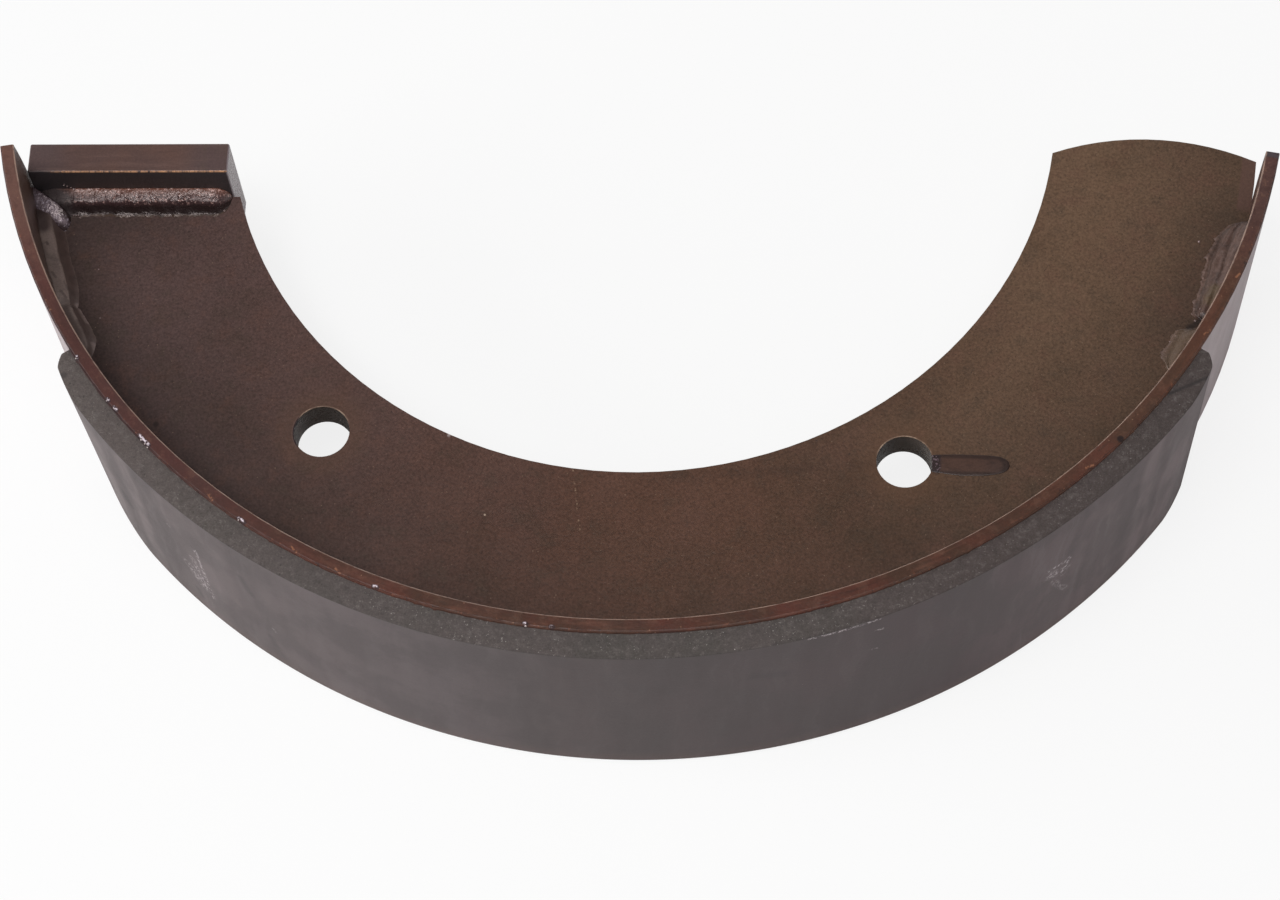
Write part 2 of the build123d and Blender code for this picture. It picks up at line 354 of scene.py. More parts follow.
def rim_finish():
    coat = Finish("rim_paint")
    fine, height = paint_grain(coat)
    drift = coat.cloud(30.0, detail=3.0)
    # the sawn top edge: long streaks of red-brown and olive-brown, paler and greyer at the plate end
    top = coat.z.over(38.6, 38.9)
    arc = coat.angle * (RIM_OUTER * math.radians(1) * 1000)
    streaks = coat.cloud(2.4, detail=4.0, roughness=0.65, where=coat.join(arc * 0.12, coat.radius, 0.0))
    red = coat.cloud(16.0, detail=4.0, roughness=0.6)
    coat.colour = coat.mix(red.over(0.32, 0.68), (70, 47, 36), (86, 46, 36))
    coat.vary(streaks, (0.5, 0.7, 0.5, 106, 68, 54), (0.46, 0.3, 0.5, 50, 33, 29))
    # maroon beside the lining's plate end, and olive-brown towards the anchor end
    coat.vary(coat.angle, (-18.0, -44.0, 0.6, 76, 45, 45), (24.0, 64.0, 0.34, 98, 72, 56))
    pale_end = coat.angle.over(-60.0, -76.0)
    coat.lay(pale_end * 0.6, 120, 88, 78)
    blotches = coat.cloud(3.4, detail=4.0, roughness=0.7)
    anchor_end = coat.angle.over(62.0, 74.0)
    coat.lay(anchor_end * 0.55, 90, 66, 66)
    coat.lay(blotches.over(0.52, 0.64) * (0.16 + anchor_end * 0.4), 126, 92, 76)
    coat.lay(blotches.over(0.48, 0.36) * (0.22 + anchor_end * 0.2), 62, 40, 36)
    coat.lay(coat.angle.over(77.2, 77.45) * 0.8, 76, 70, 74)
    top_colour = coat.colour
    coat.colour = coat.mix(drift.over(0.35, 0.65), (74, 52, 47), (92, 69, 60))
    coat.lay(top, top_colour)
    coat.brighten(0.55 + fine * 0.9)
    # orange primer and pale chips along the outer corner of the top edge
    outer = coat.radius.over(190.9, 192.3) * top
    lumpy = coat.cloud(24.0, detail=2.0).over(0.42, 0.6)
    chips = coat.cloud(1.2, detail=4.0, roughness=0.75).over(0.57, 0.66) * lumpy
    coat.lay(chips * outer * 0.6, 140, 84, 58)
    dark_chips = coat.cloud(1.1, detail=3.0, roughness=0.7, where=coat.join(arc, coat.radius, 40.0))
    coat.lay(dark_chips.over(0.6, 0.66) * outer * 0.7, 40, 28, 27)
    pale = coat.dots(1.7, 0.26, 0.14) * top
    coat.lay(pale * 0.4, 176, 134, 108)
    flaky = coat.cloud(0.7).over(0.42, 0.56)
    for chip_angle in (-37.6, -28.8, -24.6, 42.2, 58.7, 65.0):
        chip = coat.stroke(polar_mm(191.3, chip_angle - 0.3), polar_mm(192.0, chip_angle + 0.3), 0.3, 0.2)
        coat.lay(chip * top * flaky * 0.6, 168, 114, 84)
    # dots and one longer patch of dried adhesive, violet-white, each with a dark edge
    for glue_angle, glue_end in (
        (-56.0, -55.9), (-50.9, -50.8), (-49.9, -49.6), (-46.3, -45.1), (-34.4, -33.9), (-21.2, -21.0),
        (-8.2, -8.15), (-6.0, -5.95),
    ):
        glue = coat.stroke(polar_mm(191.8, glue_angle), polar_mm(191.8, glue_end), 0.34, 0.26) * flaky
        around = coat.stroke(polar_mm(192.0, glue_angle), polar_mm(192.0, glue_end + 0.1), 0.7, 0.2)
        coat.lay(around * top * 0.6, 34, 26, 34)
        coat.lay(glue * top, 226, 212, 220)
    shade = coat.radius.over(191.9, 192.3) * top * coat.angle.over(-38.0, -48.0)
    coat.lay(shade * 0.55, 40, 26, 30)
    gouge = coat.spot(polar_mm(191.7, 45.9), 1.0, 0.35)
    coat.lay(gouge * top * 0.85, 30, 22, 24)
    # the inner corner of the top edge is worn to a thin bright line
    inner_corner = coat.radius.over(188.95, 188.7) * coat.z.over(39.3, 39.6)
    wear_and_glint = coat.cloud(5.0, detail=5.0, roughness=0.7).over(0.25, 0.55)
    coat.lay(inner_corner * wear_and_glint * 0.8, 178, 148, 132)
    smear = coat.cloud(9.0, detail=3.0, where=coat.join(arc, 0.0, coat.z * 0.25)).over(0.5, 0.75)
    coat.lay(smear * (1 - top) * 0.5, 74, 62, 60)
    # the outer face gets a pale painted glare, the grazing reflection of a bright surround, in upright
    # streaks
    wiped = coat.cloud(7.0, detail=5.0, roughness=0.62, where=coat.join(arc, 0.0, coat.z * 0.22))
    outer_face_glare = coat.mix(wiped.over(0.26, 0.74), (186, 169, 173), (156, 138, 140))
    coat.lay(coat.radius.over(192.2, 192.4) * (1 - top) * 0.72, outer_face_glare)
    roughness = 0.36 + (drift - 0.5) * 0.2 + coat.radius.over(192.0, 192.35) * top * 0.35
    return coat.surface(roughness, height, {"Specular IOR Level": 0.4})


def plate_finish():
    coat = Finish("plate_paint")
    fine, height = paint_grain(coat)
    brushed = coat.cloud(3.0, detail=5.0, roughness=0.65, where=coat.join(coat.x * 0.1, coat.y, coat.z))
    upright = coat.cloud(7.0, detail=3.0, where=coat.join(coat.x, coat.y * 0.2, coat.z * 0.2))
    drift = coat.cloud(26.0, detail=3.0)
    coat.colour = coat.mix(drift.over(0.35, 0.65), (88, 68, 65), (100, 74, 66))
    ends = abs(coat.x + 156).over(13.0, 26.0)
    coat.lay(ends * 0.6, 82, 69, 71)
    coat.lay(upright.over(0.55, 0.72) * 0.4, 92, 78, 60)
    coat.vary(brushed, (0.5, 0.72, 0.35, 122, 94, 86), (0.46, 0.3, 0.35, 64, 50, 49))
    coat.brighten(0.58 + fine * 0.84)
    # the front, above the weld, stays dark
    front = coat.y.over(-33.3, -33.5)
    coat.lay(front * 0.75, 50, 51, 54)
    # the end that faces the hub space gets a pale painted glare over its brown paint, and is a little
    # glossier
    inner_end_glare = coat.x.over(PLATE_INNER_X * 1000 - 0.5, PLATE_INNER_X * 1000 - 0.2)
    coat.lay(inner_end_glare * 0.8, 136, 122, 127)
    # the upper front edge is worn down to tan primer in dots and dashes
    dashes = coat.cloud(2.2, detail=5.0, roughness=0.8, where=coat.join(coat.x, 0.0, 0.0)).over(0.4, 0.56)
    wear_and_glint = coat.z.over(19.3, 19.7) * coat.y.over(-33.1, -33.35) * dashes * coat.x.over(-181.0, -172.0)
    coat.lay(wear_and_glint * 0.9, 206, 152, 112)
    roughness = 0.36 + (brushed - 0.5) * 0.25 - inner_end_glare * 0.08
    return coat.surface(roughness, height, {"Specular IOR Level": 0.45})


def weld_finish(
    name, bands, fleck, flecked, scale, crust_height, gloss, blur=0.16, marks=(), fleck_end=1.2, dull=0.0,
):
    """Paint over weld metal. bands are its colours from the wall to the toe; on some beads they hold painted
    light and shade across the section. fleck is the colour of its flecks, which on the glossiest beads are
    painted glints, and fleck_end how far from the wall they reach. scale is the size of its crinkles. gloss
    is the paint's lowest roughness, which dull adds to in patches. A mark is a patch: ends, half its width,
    colour and strength. Some marks are painted shade or painted highlights."""
    coat = Finish(name)
    fine = coat.cloud(0.45, detail=3.0, roughness=0.7)
    crinkle = coat.cloud(scale, detail=2.0, roughness=0.55)
    drift = coat.cloud(4.5, detail=4.0, roughness=0.6)
    across = coat.attribute("across") + (drift - 0.5) * blur + (crinkle - 0.5) * blur * 0.5
    coat.colour = coat.ramp(across, *bands)
    coat.lay(drift.over(0.56, 0.36) * 0.35, 44, 34, 33)
    for start, end, half_width, patch, strength in marks:
        mark = coat.stroke(start, end, half_width, half_width * 0.6)
        coat.lay(mark * (0.4 + drift * 0.9) * strength, *patch)
    # flecks, which on the plate's bead, the lump and the spatter are painted glints
    flecks_and_glints = coat.cloud(0.8, detail=2.0, roughness=0.6).over(0.54, 0.7)
    flecks_and_glints = flecks_and_glints * across.over(fleck_end, fleck_end - 0.1)
    if dull:
        flecks_and_glints = flecks_and_glints * coat.x.over(-178.0, -168.0)
    coat.lay(flecks_and_glints * flecked, *fleck)
    coat.brighten(0.55 + fine * 0.9)
    roughness = gloss + fine * 0.16
    if dull:
        toe = across.over(0.84, 0.9) * coat.cloud(5.0, detail=3.0).over(0.56, 0.42)
        corner = coat.x.over(-170.0, -177.0)
        roughness = roughness + drift.over(0.4, 0.62) * dull + (corner + toe).least(1.0) * dull * 2.4
    fixed = {"Specular IOR Level": 0.75, "Specular Tint": (1.0, 0.86, 0.84, 1.0)}
    return coat.surface(roughness, crinkle * crust_height + fine * (crust_height * 0.4), fixed)


def lining_finish():
    stone = Finish("friction_compound")
    arc = stone.angle * FACE_DEGREE_MM
    grit = stone.cloud(0.55, detail=4.0, roughness=0.8)
    lumps = stone.cloud(1.8, detail=4.0, roughness=0.7)
    drift = stone.cloud(24.0, detail=3.0)
    # sawn and moulded sides: rough grey compound with pale fibres and dark pits
    stone.colour = stone.mix(drift.over(0.38, 0.62), (77, 71, 68), (82, 74, 72))
    stone.vary(stone.angle, (-20.0, -55.0, 0.6, 90, 80, 77), (8.0, 32.0, 0.62, 72, 60, 58))
    stone.vary(lumps, (0.5, 0.68, 0.46, 106, 99, 96), (0.47, 0.3, 0.46, 55, 49, 48))
    stone.brighten(0.2 + grit * 1.6)
    middle = abs(stone.angle).over(34.0, 10.0)
    clusters = stone.cloud(7.0, detail=3.0, roughness=0.6).over(0.42, 0.58)
    fibres = stone.cloud(0.7, detail=3.0, roughness=0.8).over(0.62, 0.68) * 0.8
    flecks = stone.dots(1.5, 0.22, 0.2).most(stone.dots(0.9, 0.15, 0.22)).most(fibres)
    flecks = flecks * clusters * (0.45 + middle * 0.55)
    stone.lay(flecks * 0.75, 196, 190, 184)
    pits = stone.dots(1.5, 0.34, 0.16)
    stone.lay(pits * 0.55, 44, 41, 40)
    score = stone.stroke(polar_mm(193.05, 52.07), polar_mm(198.8, 55.16), 0.5, 0.4)
    stone.lay(score * 0.75, 48, 43, 43)
    chip = stone.spot(polar_mm(197.9, -55.2), 1.0, 0.5)
    stone.lay(chip * 0.6, 52, 46, 46)
    sawn = stone.colour

    # the ground face: smoother, with clouds, and streaks across its width near both ends
    face = abs(stone.z).over(38.85, 38.7) * stone.radius.over(195.2, 196.0)
    bend = stone.cloud(13.0, detail=3.0)
    across = stone.join(arc - stone.z * 0.06 + (bend - 0.5) * 7, 0.0, stone.z * 0.12)
    streaks = stone.cloud(6.0, detail=5.0, roughness=0.62, where=across)
    clouds = stone.cloud(22.0, detail=5.0, roughness=0.6)
    sides = abs(stone.angle + 2).over(26.0, 44.0)
    # its colour is lighter near both ends, partly a painted glare where the face turns to a grazing angle
    stone.colour = stone.ramp(
        stone.angle.over(-57.0, 57.0), (0.0, 92, 80, 80), (0.1, 93, 81, 81), (0.3, 85, 74, 75),
        (0.42, 74, 62, 62), (0.5, 71, 59, 59), (0.84, 68, 52, 54), (0.97, 97, 81, 82),
    )
    # bands where the grinding wheel dwelt: the middle of each in degrees, half its width, and how light it is
    swept = stone.angle + (bend - 0.5) * 1.6
    for middle_angle, half, light in (
        (-51.4, 1.7, 0.34), (-48.4, 1.2, -0.3), (-46.4, 1.0, 0.22), (-43.4, 1.7, -0.3), (-38.2, 1.2, 0.12),
        (-33.4, 1.5, -0.24), (-28.0, 1.2, -0.08), (45.4, 1.1, -0.26), (47.6, 0.9, 0.14), (49.1, 0.6, -0.2),
        (52.6, 1.9, 0.24),
    ):
        band = abs(swept - middle_angle).over(half * 1.5, half * 0.4)
        shade = (136, 124, 124) if light > 0 else (52, 43, 44)
        stone.lay(band * abs(light), *shade)
    stone.lay(clouds.over(0.4, 0.6) * 0.44, 60, 51, 51)
    stone.lay(streaks.over(0.5, 0.64) * (0.06 + sides * 0.2), 60, 51, 52)
    stone.lay(streaks.over(0.47, 0.36) * (0.05 + sides * 0.2), 112, 100, 101)
    stone.brighten(0.74 + grit * 0.52)
    specks = stone.dots(2.2, 0.3, 0.1)
    stone.lay(specks * 0.4, 44, 40, 41)
    # pale scuffs: the angle and height of each end, half its width, and its strength
    scribble = stone.cloud(1.1, detail=4.0, roughness=0.75).over(0.5, 0.56)
    for first, second, half_width, strength in (
        ((36.5, 10.3), (38.7, 8.4), 0.7, 0.8), ((36.8, 6.0), (38.4, 2.6), 1.7, 0.6),
        ((38.7, 9.6), (38.3, 0.0), 0.7, 0.7), ((37.2, 0.0), (38.9, -13.0), 0.9, 0.4),
        ((20.2, 30.2), (20.8, 30.2), 0.5, 0.7), ((19.8, 17.5), (20.3, 17.2), 0.5, 0.6),
        ((-38.9, 12.0), (-38.8, -22.0), 0.7, 0.7), ((-40.8, -7.0), (-39.6, -18.0), 1.9, 0.55),
        ((-39.8, 2.0), (-39.4, -16.0), 1.1, 0.6), ((-31.7, -11.5), (-31.6, -13.5), 0.5, 0.6),
        ((-41.9, 15.6), (-41.7, 15.0), 0.5, 0.5), ((14.0, 6.2), (14.1, 6.0), 0.3, 0.6),
        ((14.6, 37.9), (20.4, 37.8), 0.5, 0.9),
    ):
        scuff = stone.face_stroke(arc, first, second, half_width, half_width * 0.8)
        stone.lay(scuff * scribble * strength, 186, 174, 176)
    # dark smears
    for first, second, half_width in (
        ((10.4, 19.0), (12.6, 17.0), 2.2), ((21.1, 0.2), (21.2, 0.0), 0.4),
        ((31.5, -11.4), (31.7, -12.2), 0.8), ((-39.2, 13.2), (-39.1, 12.8), 0.6),
        ((-41.0, -25.0), (-40.7, -30.0), 1.1), ((-32.4, -20.0), (-32.1, -26.0), 1.2),
        ((-48.9, 0.0), (-48.7, -5.0), 2.4), ((-33.6, 18.0), (-33.0, 8.0), 1.2),
    ):
        stone.lay(stone.face_stroke(arc, first, second, half_width, half_width * 0.9) * 0.42, 50, 43, 44)
    lower = stone.z.over(-31.0, -38.5)
    stone.lay(lower * 0.3, 98, 78, 72)
    stone.colour = stone.mix(face, sawn, stone.colour)
    # the arris between the two is ragged and dark
    ragged = stone.cloud(1.6, detail=4.0, roughness=0.7)
    arris = face * (stone.z + (ragged - 0.5) * 1.6).over(38.2, 38.7)
    stone.lay(arris * 0.3, 48, 44, 43)

    height = (grit * 0.2 + lumps * 0.22 + flecks * 0.06 - pits * 0.12) * (1 - face * 0.82)
    roughness = 0.84 - face * (0.3 - streaks * 0.12)
    return stone.surface(roughness, height, {"Specular IOR Level": 0.45})


def adhesive_finish():
    glue = Finish("adhesive")
    haze = glue.cloud(0.6, detail=3.0)
    glue.colour = glue.mix(haze.over(0.35, 0.65), (150, 132, 128), (214, 200, 198))
    return glue.surface(0.28 + haze * 0.1, haze * 0.06)


def run_finish():
    coat = Finish("paint_run")
    fine = coat.cloud(0.6, detail=3.0)
    ripples = coat.cloud(1.6, detail=4.0, roughness=0.65, where=coat.join(coat.x * 0.35, coat.y, 0.0))
    tip = coat.x.over(99.0, 106.5)
    coat.colour = coat.mix(tip * 0.5, (80, 57, 48), (62, 47, 43))
    coat.lay(ripples.over(0.5, 0.66) * (0.3 + tip * 0.4), 44, 32, 29)
    # dried darker round its edge
    middle = coat.stroke(polar_mm(151.0, 34.6), polar_mm(163.4, 40.1), 2.1, 0.5)
    coat.lay((1 - middle) * 0.65, 40, 29, 27)
    # a dark speckled dab where it leaves the hole
    hole = polar_mm(HOLE_PITCH_MM, RIGHT_HOLE_ANGLE)
    dab = coat.spot(hole, HOLE_RADIUS_MM + 2.3, 0.5)
    coat.lay(dab * 0.8, 38, 29, 33)
    coat.lay(dab * coat.cloud(0.7, detail=2.0).over(0.58, 0.66) * 0.6, 138, 116, 124)
    coat.brighten(0.7 + fine * 0.6)
    return coat.surface(0.36 + fine * 0.1, ripples * 0.08, {"Specular IOR Level": 0.4})


def by_rim(*marks):
    """Marks on a bead by the rim, whose ends are given as radius and angle."""
    return [(polar_mm(*start), polar_mm(*end), *rest) for start, end, *rest in marks]


finishes = {
    "painted_web": web_finish(),
    "painted_rim": rim_finish(),
    "painted_plate": plate_finish(),
    # the plate's bead: the dark band on its steep side is painted shade, its pale flecks are painted glints,
    # and its mark is painted shade by the corner
    "weld_bead": weld_finish(
        "painted_weld",
        (
            (0.0, 116, 69, 52), (0.14, 104, 66, 55), (0.3, 74, 51, 50), (0.54, 64, 45, 46),
            (0.62, 40, 29, 29), (0.86, 38, 28, 28), (0.94, 72, 54, 42), (1.0, 70, 52, 42),
        ),
        fleck=(216, 174, 164), flecked=0.6, scale=0.7, crust_height=0.2, gloss=0.09,
        marks=[((-186.0, -35.0), (-178.0, -38.0), 5.0, (44, 35, 36), 1.4)], fleck_end=0.6, dull=0.2,
    ),
    "lining": lining_finish(),
}
# the beads by the rim at the plate end: their pale upper band is a painted sheen and their darker steep side
# painted shade; the pale marks are painted highlights on ridges
smooth_weld = weld_finish(
    "smooth_painted_weld",
    (
        (0.0, 110, 93, 87), (0.05, 137, 119, 112), (0.49, 133, 115, 108), (0.53, 90, 74, 69),
        (0.88, 84, 67, 62), (0.97, 96, 79, 73), (1.0, 88, 72, 66),
    ),
    fleck=(78, 64, 60), flecked=0.3, scale=0.9, crust_height=0.05, gloss=0.34, blur=0.06,
    marks=by_rim(
        ((187.0, -79.0), (187.2, -75.6), 2.4, (74, 60, 58), 1.2),
        ((187.0, -73.7), (186.8, -73.5), 0.4, (58, 46, 43), 0.7),
        ((187.6, -70.4), (187.0, -69.8), 0.4, (70, 56, 52), 0.6),
        ((185.0, -69.2), (184.8, -68.4), 0.3, (70, 56, 52), 0.5),
        ((186.8, -68.3), (186.0, -67.6), 0.4, (74, 60, 56), 0.6),
        ((187.6, -66.4), (186.8, -61.5), 1.3, (82, 66, 62), 0.9),
        ((184.6, -64.8), (184.4, -62.6), 1.0, (82, 66, 62), 0.9),
        ((183.4, -67.0), (182.5, -65.0), 0.9, (126, 108, 103), 1.0),
        ((183.8, -62.4), (184.2, -61.3), 0.7, (128, 110, 106), 1.0),
    ),
)
ridged_weld = weld_finish(
    "ridged_painted_weld",
    (
        (0.0, 96, 76, 69), (0.3, 105, 83, 75), (0.38, 74, 55, 47), (0.5, 94, 72, 64), (0.64, 90, 69, 60),
        (0.73, 68, 51, 43), (0.82, 86, 65, 55), (0.93, 104, 81, 72), (1.0, 78, 59, 48),
    ),
    fleck=(122, 98, 90), flecked=0.3, scale=0.8, crust_height=0.12, gloss=0.36, blur=0.34,
    marks=by_rim(
        ((184.5, 68.4), (184.5, 67.2), 1.8, (100, 84, 62), 0.8),
        ((183.0, 63.0), (183.5, 60.0), 4.0, (94, 76, 57), 0.8),
        # painted shade in the deep notch between the two beads
        ((182.0, 64.1), (184.6, 65.5), 1.1, (38, 30, 28), 1.0),
    ),
)
# the lump's pale gentle side is a painted highlight and its dark steep side painted shade; its marks are
# painted shade beside its tip
lump_weld = weld_finish(
    "lump_painted_weld",
    (
        (0.0, 50, 39, 39), (0.14, 72, 58, 61), (0.26, 120, 105, 113), (0.5, 130, 115, 123),
        (0.62, 84, 70, 75), (0.7, 42, 32, 34), (1.0, 38, 29, 30),
    ),
    fleck=(210, 196, 210), flecked=0.65, scale=0.7, crust_height=0.15, gloss=0.1, blur=0.1,
    marks=[
        ((-172.0, -42.5), (-175.4, -40.8), 1.6, (56, 44, 44), 1.3),
        ((-175.0, -46.0), (-178.0, -45.5), 1.6, (56, 44, 44), 1.0),
    ],
    fleck_end=0.64,
)
stitch_weld = weld_finish(
    "stitch_painted_weld", ((0.0, 82, 58, 50), (0.5, 90, 64, 54), (1.0, 72, 52, 45)),
    fleck=(112, 84, 74), flecked=0.25, scale=0.9, crust_height=0.1, gloss=0.34,
)
# the spatter drops are pale, partly a painted highlight on the small balls
spatter_paint = weld_finish(
    "spatter_paint", ((0.0, 132, 112, 110), (1.0, 132, 112, 110)),
    fleck=(160, 140, 138), flecked=0.3, scale=0.9, crust_height=0.02, gloss=0.14,
)
adhesive = adhesive_finish()
paint_run = run_finish()

for entry in frame["record"]["subparts"]:
    node = frame["nodes"][entry["node"]]
    for material_slot in node.material_slots:
        material_slot.material = finishes[entry["material_slot"]]


# ---- weld beads ----
BEAD_STEP = 0.00018  # between a bead's sections
BEAD_FACES = 26  # from the wall to the toe
SEAT = 0.00006  # a bead's flat sides sink this far into the plates
RIPPLE_PITCH, RIPPLE_BOW = 1.5, 1.8  # millimetres between a stitch's ripples, and how far each bows ahead


def wave(seed, along, across, up=0.0):
    """Smooth repeatable noise between about -1 and 1."""
    return noise.noise(Vector((along, across, up + seed * 17.31)))


def finish_piece(shell, name, material, replaced=None, crisp=None):
    """Turns a closed bmesh into a smooth piece of the shoe. Edges sharper than crisp degrees stay crisp."""
    bmesh.ops.remove_doubles(shell, verts=shell.verts, dist=1e-7)
    bmesh.ops.dissolve_degenerate(shell, edges=shell.edges, dist=1e-7)
    bmesh.ops.recalc_face_normals(shell, faces=shell.faces)
    mesh = bpy.data.meshes.new(name)
    shell.to_mesh(mesh)
    shell.free()
    mesh.materials.append(material)
    for face in mesh.polygons:
        face.use_smooth = True
    if crisp:
        mesh.set_sharp_from_angle(angle=math.radians(crisp))
    piece = add_object(name, mesh)
    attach(piece, "root")
    if replaced:
        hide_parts(replaced)


def closed_rings(rings, shares=None):
    """A closed skin over a run of rings of points. shares is how far round its section each point is."""
    shell = bmesh.new()
    across = shell.verts.layers.float.new("across") if shares else None
    rows = [[shell.verts.new(point) for point in ring] for ring in rings]
    if shares:
        for row in rows:
            for vertex, share in zip(row, shares):
                vertex[across] = share
    for first, second in zip(rows, rows[1:]):
        for i in range(len(first)):
            j = (i + 1) % len(first)
            shell.faces.new((first[i], first[j], second[j], second[i]))
    shell.faces.new(rows[0])
    shell.faces.new(rows[-1])
    return shell


def smooth_value(values, share):
    """The value that far along a smooth curve through the given ones."""
    spans = len(values) - 1
    place = min(share, 0.999999) * spans
    span = int(place)
    t = place - span
    a, b, c, d = (values[min(max(span + step, 0), spans)] for step in (-1, 0, 1, 2))
    return (2 * b + (c - a) * t + (2 * a - 5 * b + 4 * c - d) * t**2 + (3 * b - a - 3 * c + d) * t**3) / 2


def smooth_line(points, share):
    """The place that far along a smooth line through points."""
    return [smooth_value(values, share) for values in zip(*points)]


def bead(side, corner_at, length, reach, rise, look):
    """A fillet weld laid into a corner. corner_at gives a point on the corner and the way out of it."""
    up = Vector((0, 0, side))
    sections = round(length / BEAD_STEP)
    seed = look["seed"]
    shares = [face / BEAD_FACES for face in range(BEAD_FACES + 1)]
    profile = [smooth_line(look["section"], share) for share in shares]
    slopes = []
    for share in shares:
        ahead = smooth_line(look["section"], min(share + 0.02, 1.0))
        behind = smooth_line(look["section"], max(share - 0.02, 0.0))
        slopes.append(Vector((reach * (ahead[0] - behind[0]), rise * (ahead[1] - behind[1]))).normalized())
    rings = []
    for section in range(sections + 1):
        done = (1 - math.cos(math.pi * section / sections)) / 2
        along = length * done
        corner, out = corner_at(along)
        where = along * 1000
        swell = 1.0
        for to_end, cap in ((where, look["start_cap"]), ((length - along) * 1000, look["end_cap"])):
            swell *= math.sqrt(max(1 - (1 - min(to_end / cap, 1)) ** 2, 0))
        swell = max(swell, 0.004)
        jag = look["jag"] * (wave(seed, where * 0.42, 9.3) + 0.6 * wave(seed, where * 1.3, 4.4))
        toe = reach * swell * smooth_value(look["outline"], done)
        toe *= 1 + look["wander"] * wave(seed, where * 0.12, 3.1)
        top = rise * swell * (1 + look["wander"] * 0.7 * wave(seed, where * 0.2, 8.4))
        drift = 0.35 * wave(seed, where * 0.3, 1.7)
        slant = where * 0.06 + 1.2 * wave(seed, where * 0.12, 1.0)
        ring = []
        for share, slope, (outward, upward) in zip(shares, slopes, profile):
            place = outward * reach * 1000
            phase = (where + RIPPLE_BOW * math.sin(math.pi * share)) / RIPPLE_PITCH + drift
            crust = wave(seed, where * 1.1, place * 1.1, 2.0)
            crust += 0.5 * wave(seed, where * 2.3, place * 2.3, 6.0)
            by_toe = max((share - 0.72) / 0.28, 0) ** 1.5
            swing = look["ripple"] * (abs(math.sin(math.pi * phase)) - 0.62)
            swing += look["lump"] * wave(seed, where * 0.35, place * 0.35, 5.0)
            swing += look["crust"] * crust
            swing += look["ridge"] * wave(seed, where * 0.11, place * 0.8 + slant, 7.0)
            swing += look["toe_lump"] * by_toe * max(wave(seed, where * 0.8, place * 0.6, 3.0) + 0.1, 0)
            swing *= math.sqrt(max(math.sin(math.pi * share), 0)) * swell / 1000
            spread = outward * toe + by_toe * jag * swell / 1000 - slope.y * swing
            height = upward * top + slope.x * swing
            ring.append(corner + out * (spread - SEAT) + up * (height - SEAT))
        ring.append(corner - (out + up) * SEAT)
        rings.append(ring)
    return closed_rings(rings, shares + [1.0])


def along_rim(side, first_angle):
    """The corner of web and rim, on one side of the web."""
    def corner_at(along):
        angle = first_angle + math.degrees(along / RIM_INNER)
        return polar(RIM_INNER, angle, side * WEB_TOP), (polar(0, 0) - polar(1, angle)).normalized()
    return corner_at


def along_plate(side):
    """The corner of web and end plate, on one side of the web."""
    def corner_at(along):
        return Vector((CORNER_X + along, PLATE_FRONT_Y, side * WEB_TOP)), Vector((0, -1, 0))
    return corner_at


# A bead's section runs from the wall to the toe, in shares of its two legs, and its outline gives the leg
# along the web from its start to its end. Other sizes are in millimetres.
SMOOTH_BEAD = {
    "section": (
        (0, 1), (0.16, 0.97), (0.32, 0.93), (0.46, 0.88), (0.54, 0.82), (0.61, 0.66), (0.72, 0.4),
        (0.84, 0.16), (0.93, 0.04), (1, 0),
    ),
    "outline": (1.0, 1.0, 0.98, 0.95, 0.9), "start_cap": 11.0, "end_cap": 14.0, "wander": 0.06, "jag": 0.15,
    "ripple": 0.0, "lump": 0.14, "crust": 0.02, "ridge": 0.1, "toe_lump": 0.0,
}
SECOND_BEAD = {
    **SMOOTH_BEAD,
    "outline": (0.8, 0.92, 1.0, 1.0, 0.8), "start_cap": 3.0, "end_cap": 9.0, "wander": 0.03,
}
PLATE_BEAD = {
    "section": (
        (0, 1), (0.14, 0.955), (0.3, 0.885), (0.46, 0.81), (0.58, 0.7), (0.68, 0.44), (0.78, 0.19),
        (0.88, 0.06), (1, 0),
    ),
    "outline": (1.0, 1.0), "start_cap": 8.0, "end_cap": 5.5, "wander": 0.05, "jag": 0.5,
    "ripple": 0.0, "lump": 0.42, "crust": 0.1, "ridge": 0.12, "toe_lump": 0.8,
}
RIPPLED_BEAD = {
    "section": ((0, 1), (0.2, 0.86), (0.42, 0.7), (0.62, 0.5), (0.8, 0.26), (0.92, 0.08), (1, 0)),
    "outline": (0.95, 1.0, 1.0, 0.97, 0.9), "start_cap": 6.0, "end_cap": 6.0, "wander": 0.08, "jag": 0.3,
    "ripple": 0.22, "lump": 0.18, "crust": 0.06, "ridge": 0.05, "toe_lump": 0.1,
}
RIDGED_BEAD = {
    "section": (
        (0, 1), (0.1, 0.93), (0.22, 0.86), (0.3, 0.76), (0.38, 0.6), (0.46, 0.58), (0.56, 0.54),
        (0.66, 0.42), (0.74, 0.25), (0.82, 0.22), (0.9, 0.2), (0.96, 0.11), (1, 0),
    ),
    "outline": (0.84, 0.9, 0.98, 0.98, 0.95), "start_cap": 2.0, "end_cap": 13.0, "wander": 0.05, "jag": 1.3,
    "ripple": 0.0, "lump": 0.35, "crust": 0.1, "ridge": 0.8, "toe_lump": 1.0,
}
SHORT_BEAD = {
    **RIDGED_BEAD,
    "outline": (0.75, 0.95, 1.02, 1.05, 0.8), "start_cap": 5.0, "end_cap": 6.0, "ridge": 0.4,
}

